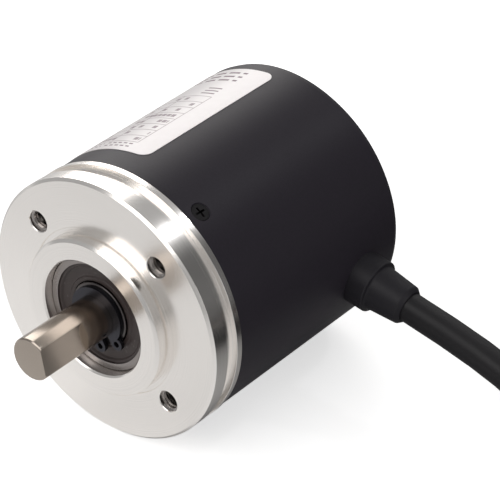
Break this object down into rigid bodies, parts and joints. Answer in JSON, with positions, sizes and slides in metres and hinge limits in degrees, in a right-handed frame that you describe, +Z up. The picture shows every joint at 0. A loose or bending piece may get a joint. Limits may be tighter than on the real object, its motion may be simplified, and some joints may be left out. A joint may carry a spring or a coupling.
{
  "type": "rotary encoder",
  "caption": "Shaft-type incremental rotary encoder: round flange with pilot boss and D-cut shaft, black cup cover, side strain relief and coiled cable.",
  "frame": {"origin": "centre of the flange's front mounting face, on the shaft's axis", "axes": "shaft points to -Y, body runs to +Y, +Z up, +X towards the side that the cable leaves from"},
  "size_m": [0.1448, 0.1359, 0.05],
  "materials": {
    "turned_aluminium": "face-turned, bright",
    "black_cover": "satin black powder coat",
    "black_seal_rubber": "smooth",
    "black_screw": "black oxide",
    "silver_label": "matt silver-white film with fine printed lines",
    "ground_shaft": "ground",
    "spring_steel": "dark phosphated",
    "bearing_steel": "fine ground",
    "ball_steel": "polished",
    "cage_plastic": "moulded",
    "bearing_seal_rubber": "moulded, brown-black",
    "spacer_steel": "turned",
    "hub_aluminium": "turned",
    "zinc_steel": "zinc plated",
    "disc_glass": "polished, with fine radial lines",
    "black_moulding": "moulded",
    "lamp_lens": "clear",
    "board_green": "solder-resist",
    "component_black": "moulded",
    "connector_white": "moulded",
    "lead_insulation": "five coloured insulated leads",
    "cable_sheath": "satin black PVC",
    "boot_rubber": "satin",
    "crimp_metal": "plated",
    "tie_fabric": "woven hook-and-loop strip",
    "tinned_copper": "tinned"
  },
  "bodies": {
    "housing": {"flange_housing": "turned_aluminium", "cover": "black_cover", "cover_oring": "black_seal_rubber", "cover_screws": "black_screw", "label": "silver_label", "preload_spring": "spring_steel", "lamp_block": "black_moulding", "lamp": "lamp_lens", "lamp_screws": "zinc_steel", "reticle": "disc_glass", "sensor_block": "black_moulding", "circuit_board": "board_green", "board_standoffs": "zinc_steel", "board_screws": "zinc_steel", "board_components": "component_black", "connector_header": "connector_white", "connector_plug": "connector_white", "inner_wires": "lead_insulation", "cable_entry": "cable_sheath", "cable_crimp": "crimp_metal", "strain_relief": "boot_rubber", "cable_tube": "cable_sheath", "cable_coil": "cable_sheath", "cable_tie": "tie_fabric", "cable_leads": "lead_insulation", "cable_lead_tips": "tinned_copper", "front_bearing_outer_ring": "bearing_steel", "front_bearing_near_seal": "bearing_seal_rubber", "front_bearing_far_seal": "bearing_seal_rubber", "rear_bearing_outer_ring": "bearing_steel", "rear_bearing_near_seal": "bearing_seal_rubber", "rear_bearing_far_seal": "bearing_seal_rubber"},
    "rotor": {"shaft": "ground_shaft", "front_circlip": "spring_steel", "rear_circlip": "spring_steel", "front_bearing_inner_ring": "bearing_steel", "rear_bearing_inner_ring": "bearing_steel", "bearing_spacer": "spacer_steel", "disc_hub": "hub_aluminium", "hub_set_screw": "black_screw", "code_disc": "disc_glass", "disc_clamp": "hub_aluminium"},
    "front_ball_set": {"front_bearing_balls": "ball_steel", "front_bearing_cage": "cage_plastic"},
    "rear_ball_set": {"rear_bearing_balls": "ball_steel", "rear_bearing_cage": "cage_plastic"}
  },
  "joints": [
    {"name": "shaft_spin", "type": "hinge", "parent": "housing", "child": "rotor", "pos_m": [0, 0, 0], "axis": [0, 1, 0], "continuous": true},
    {"name": "front_cage_spin", "type": "hinge", "parent": "housing", "child": "front_ball_set", "pos_m": [0, 0.0025, 0], "axis": [0, 1, 0], "continuous": true},
    {"name": "rear_cage_spin", "type": "hinge", "parent": "housing", "child": "rear_ball_set", "pos_m": [0, 0.0185, 0], "axis": [0, 1, 0], "continuous": true}
  ],
  "couplings": [
    {"joint": "front_cage_spin", "follows": "shaft_spin", "ratio": 0.3677},
    {"joint": "rear_cage_spin", "follows": "shaft_spin", "ratio": 0.3677}
  ]
}
